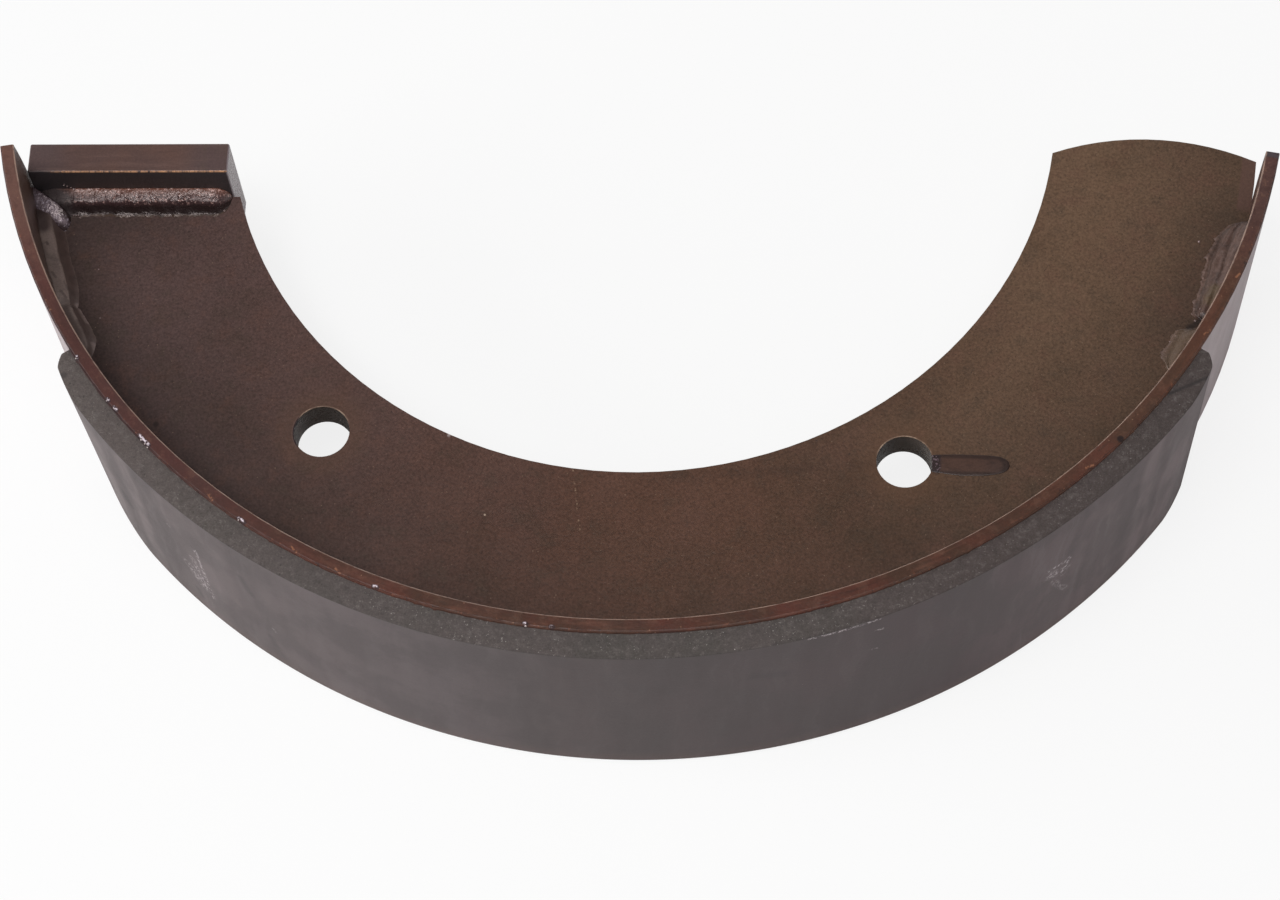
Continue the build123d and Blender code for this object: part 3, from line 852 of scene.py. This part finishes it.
# The crest of the lump in the corner, as places and heights over the web in millimetres. The lump slopes
# gently towards -Y and falls steeply towards the plate. Each slope is in shares of its reach and of the
# crest's height.
LUMP_HEIGHT = 6.6
LUMP_CREST = (
    (-186.4, -33.2, 6.0), (-184.6, -34.5, 6.5), (-183.0, -35.7, LUMP_HEIGHT), (-181.2, -36.9, 6.4),
    (-179.2, -38.2, 5.9), (-177.2, -39.5, 5.1), (-175.6, -40.7, 4.0), (-174.6, -41.6, 2.4),
    (-174.0, -42.3, 0.1),
)
LUMP_SECTION = (
    (-1.0, 0.0), (-0.95, 0.06), (-0.86, 0.27), (-0.7, 0.56), (-0.5, 0.73), (-0.25, 0.87), (0.0, 1.0),
    (0.25, 0.92), (0.5, 0.62), (0.75, 0.25), (1.0, 0.0),
)
LUMP_SECTIONS, LUMP_FACES = 120, 48
GENTLE_REACH, STEEP_REACH = 7.6, 2.8


def corner_lump(side):
    """The finger of weld that points out of the corner where the plate's and the rim's beads start."""
    limit = (RIM_INNER + SEAT) * 1000
    front = (PLATE_FRONT_Y - DRUM_AXIS_Y + SEAT) * 1000
    shares = [face / LUMP_FACES for face in range(LUMP_FACES + 1)]
    rings = []
    for section in range(LUMP_SECTIONS + 1):
        crest_x, crest_y, crest = smooth_line(LUMP_CREST, section / LUMP_SECTIONS)
        crest = max(crest, 0.02)
        swell = (crest / LUMP_HEIGHT) ** 0.7
        ring = []
        for share in shares:
            across, height = smooth_line(LUMP_SECTION, share)
            across *= (GENTLE_REACH if across < 0 else STEEP_REACH) * swell
            x, y = crest_x + 0.12 * across, min(crest_y + across, front)
            rough = 0.25 * wave(92, x * 0.4, y * 0.4) + 0.14 * wave(93, x * 1.2, y * 1.2)
            rough += 0.08 * wave(94, x * 2.6, y * 2.6)
            # its sides lie against the rim and the plate
            if math.hypot(x, y) > limit:
                x = -math.sqrt(limit**2 - y**2)
            height = max(height * crest + rough * math.sin(math.pi * share) * swell, 0.0)
            ring.append(at_mm(x, y, side * ((WEB_TOP - SEAT) * 1000 + height)))
        rings.append(ring)
    return closed_rings(rings, shares)


# name, first angle, angle covered, leg along the web, leg up the rim, look, finish
RIM_BEADS = (
    ("left_end", -79.0, 13.4, 7.6, 5.5, SMOOTH_BEAD, smooth_weld),
    ("left", -67.4, 6.4, 6.4, 4.6, SECOND_BEAD, smooth_weld),
    ("front_left", -39.0, 12.0, 6.5, 5.5, RIPPLED_BEAD, stitch_weld),
    ("front", -6.0, 12.0, 6.5, 5.5, RIPPLED_BEAD, stitch_weld),
    ("front_right", 27.0, 12.0, 6.5, 5.5, RIPPLED_BEAD, stitch_weld),
    ("right", 58.5, 6.2, 10.0, 4.6, SHORT_BEAD, ridged_weld),
    ("right_end", 65.1, 11.6, 9.7, 5.5, RIDGED_BEAD, ridged_weld),
)
PLATE_REACH, PLATE_RISE = 7.2, 5.3  # millimetres, like the legs above
BEAD_STOP = 0.0006  # the plate's bead stops this far short of its inner end
PLATE_RUN = PLATE_INNER_X - BEAD_STOP - CORNER_X


def weld(name, shell, finish):
    """Puts a rippled weld in the place of a plain one."""
    shape = "lump" if name.startswith("corner") else "bead"
    finish_piece(shell, f"{name}_{shape}", finish, name)


for side, face in ((1, "top"), (-1, "under")):
    for number, (place, first, covered, reach, rise, look, finish) in enumerate(RIM_BEADS):
        length = RIM_INNER * math.radians(covered)
        look = {**look, "seed": number + (0 if side > 0 else 20)}
        shell = bead(side, along_rim(side, first), length, reach / 1000, rise / 1000, look)
        weld(f"rim_weld_{place}_{face}", shell, finish)
    look = {**PLATE_BEAD, "seed": 40 + side}
    shell = bead(side, along_plate(side), PLATE_RUN, PLATE_REACH / 1000, PLATE_RISE / 1000, look)
    weld(f"end_plate_weld_{face}", shell, finishes["weld_bead"])
    weld(f"corner_weld_{face}", corner_lump(side), lump_weld)


# ---- lining, its ends ground to a long taper ----
LINING_START, LINING_END = -57.1, 57.2
LINING_TOP = 39.0  # millimetres, as are the sizes below
TAPER_LENGTH, TAPER_DEPTH = 17.6, 2.6
NOSE_LENGTH, NOSE_DEPTH = 3.5, 2.2  # a steeper corner at the very end
PLATE_END_GROWTH = 0.85  # the plate end's taper grows by this share towards the lower edge
ARRIS = 0.25
LINING_SECTIONS = 880
WEAR_DEGREE, JOINT_DEGREE = 3.49, 3.36  # a degree along the arris and along the joint with the rim


def lining_radius(angle, height):
    """The worn radius of the working face at that angle and height."""
    from_end = min(angle - LINING_START, LINING_END - angle) * math.radians(1) * DRUM_RADIUS * 1000
    growth = PLATE_END_GROWTH * (LINING_TOP - height) / (2 * LINING_TOP) if angle < 0 else 0.0
    from_end /= 1 + growth
    taper = TAPER_DEPTH * max(1 - from_end / TAPER_LENGTH, 0) ** 1.5
    taper += NOSE_DEPTH * max(1 - from_end / NOSE_LENGTH, 0) ** 1.5
    return DRUM_RADIUS * 1000 - taper * (1 + 0.3 * growth)


def around_lining(sections):
    """Angles in even steps from one end of the lining to the other."""
    covered = LINING_END - LINING_START
    return [LINING_START + covered * section / sections for section in range(sections + 1)]


def arris_wear(seed, where):
    """How far the arris of the working face has crumbled, in millimetres."""
    chips = 0.3 * max(wave(seed, where * 0.25, 6.0) - 0.3, 0)
    return 0.05 + 0.16 * max(wave(seed, where * 0.7, 1.0), 0) + chips


def section_at(angle, profile):
    """A section's points, from radius and height in millimetres."""
    return [polar(radius / 1000, angle, height / 1000) for radius, height in profile]


def lining_skin():
    inner = RIM_OUTER * 1000
    heights = [LINING_TOP - ARRIS, *range(36, -37, -6), ARRIS - LINING_TOP]
    rings = []
    for angle in around_lining(LINING_SECTIONS):
        top_wear, low_wear = (arris_wear(seed, angle * WEAR_DEGREE) for seed in (51, 52))
        rings.append(section_at(angle, [
            (inner, -LINING_TOP), (inner, LINING_TOP),
            (lining_radius(angle, LINING_TOP) - ARRIS - top_wear, LINING_TOP),
            *((lining_radius(angle, height), height) for height in heights),
            (lining_radius(angle, -LINING_TOP) - ARRIS - low_wear, -LINING_TOP),
        ]))
    return closed_rings(rings)


finish_piece(lining_skin(), "ground_lining", finishes["lining"], "friction_lining", crisp=40)


# ---- paint run at the right hole ----
RUN_ROOT, RUN_TIP = Vector(polar_mm(151.6, 34.95)), Vector(polar_mm(166.0, 41.25))
# half its width on each side, from the hole to the tip
RUN_UPPER = (2.9, 3.15, 3.2, 3.2, 3.2, 3.15, 3.1, 2.9, 2.7)
RUN_LOWER = (2.6, 3.1, 3.4, 3.6, 3.6, 3.5, 3.3, 2.9, 2.7)
RUN_NOSE = 0.82  # where its rounded end starts
RUN_SECTIONS, RUN_FACES = 60, 14


def run_skin():
    path = RUN_TIP - RUN_ROOT
    sideways = Vector((-path.y, path.x)).normalized()
    rings = []
    for section in range(RUN_SECTIONS + 1):
        share = section / RUN_SECTIONS
        middle = RUN_ROOT + path * share
        nose = math.sqrt(max(1 - (max(share - RUN_NOSE, 0) / (1 - RUN_NOSE)) ** 2, 0))
        nose *= 1 + 0.05 * wave(3, share * 4.0, 0.0)
        ring = []
        for face in range(RUN_FACES + 1):
            turn = math.pi * face / RUN_FACES
            width = smooth_value(RUN_UPPER if math.cos(turn) > 0 else RUN_LOWER, share)
            width = max(width * nose, 0.01)
            point = middle + sideways * (width * math.cos(turn))
            height = 0.0
            if 0 < face < RUN_FACES:
                height = (0.16 + 0.1 * share) * min(1.0, width) * math.sin(turn) ** 0.5
            ring.append(at_mm(point.x, point.y, WEB_TOP * 1000 - 0.03 + height))
        rings.append(ring)
    return closed_rings(rings)


finish_piece(run_skin(), "paint_run", paint_run)


# ---- ragged line of paint that fills the step between the rim's edge and the lining ----
JOINT_STEP = 0.0003


def joint_paint(side):
    sections = round(DRUM_RADIUS * math.radians(LINING_END - LINING_START) / JOINT_STEP)
    rings = []
    for angle in around_lining(sections):
        where = angle * JOINT_DEGREE
        ragged = wave(60 + side, where * 0.9, 0.3) * 0.12 + wave(60 + side, where * 0.25, 5.0) * 0.12 + 0.12
        drip = max(wave(70 + side, where * 0.35, 2.0) - 0.34, 0) * 1.2
        width = max(ragged + drip, 0.04)
        crest = 0.1 * wave(80 + side, where * 1.3, 1.0)
        profile = (
            (192.3, 39.84), (192.42, 39.82 + crest * 0.3), (192.5 + 0.3 * width, 39.62 + crest),
            (192.5 + 0.75 * width, 39.3 + crest), (192.5 + width, 39.02), (192.48 + width, 38.97),
            (192.3, 38.97),
        )
        rings.append(section_at(angle, [(radius, side * height) for radius, height in profile]))
    return closed_rings(rings)


for side, face in ((1, "top"), (-1, "under")):
    finish_piece(joint_paint(side), f"joint_paint_{face}", finishes["painted_rim"])


# ---- drops of weld spatter and adhesive, scattered at given places ----
def scatter_tree(name):
    """Geometry nodes that put a rounded drop on each point."""
    tree = bpy.data.node_groups.new(name, "GeometryNodeTree")
    given = {
        "Points": "Geometry", "Smallest": "Float", "Largest": "Float", "Flatness": "Float", "Seed": "Int",
        "Finish": "Material",
    }
    for label, kind in given.items():
        tree.interface.new_socket(label, in_out="INPUT", socket_type=f"NodeSocket{kind}")
    tree.interface.new_socket("Drops", in_out="OUTPUT", socket_type="NodeSocketGeometry")
    nodes = Nodes(tree)
    source = nodes.add("NodeGroupInput").socket.node
    points, smallest, largest, flatness, seed, finish = nodes.outputs(source, *given)
    drop = nodes.add("GeometryNodeMeshIcoSphere", inputs={"Radius": 1.0, "Subdivisions": 3}, output="Mesh")
    size = nodes.add("FunctionNodeRandomValue", inputs={"Seed": seed, 2: smallest, 3: largest}, output=1)
    scale = nodes.join(size, size, size * flatness)
    inputs = {"Points": points, "Instance": drop, "Scale": scale}
    placed = nodes.add("GeometryNodeInstanceOnPoints", inputs=inputs)
    real = nodes.add("GeometryNodeRealizeInstances", inputs={"Geometry": placed})
    smooth = nodes.add("GeometryNodeSetShadeSmooth", inputs={"Geometry": real})
    painted = nodes.add("GeometryNodeSetMaterial", inputs={"Geometry": smooth, "Material": finish})
    nodes.add("NodeGroupOutput", inputs={"Drops": painted})
    return tree


scatter = scatter_tree("drops")
sockets = scatter.interface.items_tree
scatter_inputs = {socket.name: socket.identifier for socket in sockets if socket.in_out == "INPUT"}


def drops(name, points, smallest, largest, flatness, seed, material):
    """Drops at those points, as one piece."""
    mesh = bpy.data.meshes.new(name)
    mesh.from_pydata(points, [], [])
    holder = add_object(name, mesh)
    maker = holder.modifiers.new("drops", "NODES")
    maker.node_group = scatter
    values = {
        "Smallest": smallest, "Largest": largest, "Flatness": flatness, "Seed": seed, "Finish": material,
    }
    for label, value in values.items():
        maker[scatter_inputs[label]] = value
    bpy.context.view_layer.update()
    evaluated = holder.evaluated_get(bpy.context.evaluated_depsgraph_get())
    plain = bpy.data.meshes.new_from_object(evaluated)
    holder.modifiers.remove(maker)
    holder.data = plain
    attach(holder, "root")


# radius, angle and height, in millimetres and degrees
BY_RIM = (
    (182.65, 65.07, 5.0), (182.76, 66.05, 7.2), (175.62, 73.45, 5.0), (178.86, 61.98, 5.0),
    (176.18, -76.6, 5.0), (178.8, -64.9, 5.0), (174.2, -70.2, 5.0),
)
GLUE = (
    (192.2, -55.9, 39.6), (192.2, -50.83, 39.6), (192.2, -49.86, 39.6), (192.1, -46.33, 39.6),
    (192.2, -45.9, 39.6), (192.3, -45.4, 39.6), (192.4, -45.0, 39.5), (192.2, -34.34, 39.6),
    (192.2, -33.87, 39.6), (192.3, -8.07, 39.5),
)
# places in millimetres from the drum axis
BY_PLATE = (
    (-127.2, -33.9, 8.8), (-127.2, -34.5, 7.6), (-127.6, -36.2, 6.2), (-127.0, -38.8, 5.4),
    (-171.8, -40.5, 5.6), (-172.5, -40.4, 5.5), (-173.3, -40.4, 5.5), (-175.5, -33.8, 12.6),
    (-174.7, -33.8, 11.9), (-173.7, -33.8, 11.0), (-173.0, -33.9, 10.3), (-172.2, -34.0, 9.6),
)
spatter_places = [polar(radius / 1000, angle, height / 1000) for radius, angle, height in BY_RIM]
spatter_places += [at_mm(*place) for place in BY_PLATE]
glue_places = [polar(radius / 1000, angle, height / 1000) for radius, angle, height in GLUE]
drops(
    "weld_spatter", spatter_places, smallest=0.00024, largest=0.00042, flatness=0.8, seed=4,
    material=spatter_paint,
)
drops(
    "adhesive_drops", glue_places, smallest=0.0003, largest=0.0004, flatness=0.9, seed=7,
    material=adhesive,
)


# ---- floor, light and camera ----
WHITE = (1, 1, 1, 1)
FLOOR_HALF = 6.0
FLOOR_GAP = 0.0001  # between the floor and the rim's lower edge
FLOOR_GLOW = 0.82  # share of plain white in the floor that the camera sees, which keeps its shadows light
LAMP_AIM = Vector((0, 0.1, 0))
CAMERA_PLACE = (0.04138, DRUM_AXIS_Y - 0.53317, 0.84770)
CAMERA_TURN, CAMERA_TILT, CAMERA_ROLL = 5.487, 63.77, -4.868  # degrees
LENS_LENGTH, SENSOR_WIDTH = 90.2, 36.0  # millimetres


def stage_floor():
    """A pale floor that keeps the shoe's shadow."""
    mesh = bpy.data.meshes.new("floor")
    level = -RIM_TOP - FLOOR_GAP
    corners = [(x * FLOOR_HALF, y * FLOOR_HALF, level) for x, y in ((-1, -1), (1, -1), (1, 1), (-1, 1))]
    mesh.from_pydata(corners, [], [(0, 1, 2, 3)])
    floor = add_object("floor", mesh)
    pale = Finish("pale_floor")
    card = pale.add("ShaderNodeBsdfDiffuse", inputs={"Color": (0.95, 0.95, 0.95, 1)})
    glow = pale.add("ShaderNodeEmission", inputs={"Color": WHITE, "Strength": 1.0})
    seen = pale.add("ShaderNodeLightPath", output="Is Camera Ray")
    both = pale.add("ShaderNodeMixShader", inputs={0: seen * FLOOR_GLOW, 1: card, 2: glow})
    pale.add("ShaderNodeOutputMaterial", inputs={0: both})
    mesh.materials.append(pale.material)


def studio_world():
    """Plain white to the camera. To the shoe it is bright near the horizon and dim overhead."""
    world = bpy.data.worlds.new("studio")
    bpy.context.scene.world = world
    world.use_nodes = True
    sky = Nodes(world.node_tree)
    upward = sky.split(sky.add("ShaderNodeTexCoord", output="Generated"))[2]
    inputs = {"Value": upward, "From Min": 0.1, "From Max": 0.6, "To Min": 1.0, "To Max": 0.12}
    fade = sky.add("ShaderNodeMapRange", inputs=inputs)
    light = sky.add("ShaderNodeBackground", inputs={"Color": WHITE, "Strength": fade})
    backdrop = sky.add("ShaderNodeBackground", inputs={"Color": WHITE, "Strength": 1.0})
    seen = sky.add("ShaderNodeLightPath", output="Is Camera Ray")
    both = sky.add("ShaderNodeMixShader", inputs={0: seen, 1: light, 2: backdrop})
    sky.add("ShaderNodeOutputWorld", inputs={0: both})


def soft_lamp(name, place, size, watts):
    lamp = bpy.data.lights.new(name, "AREA")
    lamp.shape = "RECTANGLE"
    lamp.size, lamp.size_y = size
    lamp.energy = watts
    holder = add_object(name, lamp)
    holder.location = place
    holder.rotation_euler = (LAMP_AIM - Vector(place)).to_track_quat("-Z", "Y").to_euler()


def aim_camera():
    lens = bpy.data.cameras.new("camera")
    lens.sensor_width = SENSOR_WIDTH
    lens.lens = LENS_LENGTH
    lens.clip_start = 0.01
    camera = add_object("camera", lens)
    turn, tilt, roll = (math.radians(angle) for angle in (CAMERA_TURN, CAMERA_TILT, CAMERA_ROLL))
    ahead = Vector((-math.sin(turn) * math.cos(tilt), math.cos(turn) * math.cos(tilt), -math.sin(tilt)))
    right = Vector((math.cos(turn), math.sin(turn), 0))
    above = right.cross(ahead)
    level_right = right * math.cos(roll) + above * math.sin(roll)
    level_up = above * math.cos(roll) - right * math.sin(roll)
    axes = Matrix((level_right, level_up, -ahead)).transposed().to_4x4()
    camera.matrix_world = Matrix.Translation(CAMERA_PLACE) @ axes
    bpy.context.scene.camera = camera


stage_floor()
studio_world()
soft_lamp("overhead_lamp", (-0.15, -0.3, 1.5), (1.1, 0.8), 10.5)
soft_lamp("key_lamp", (-0.3, -0.33, 1.5), (0.5, 0.3), 4.5)
soft_lamp("left_lamp", (-1.3, -0.15, 0.55), (0.8, 0.5), 7)
aim_camera()
bpy.context.scene.view_settings.view_transform = "Standard"
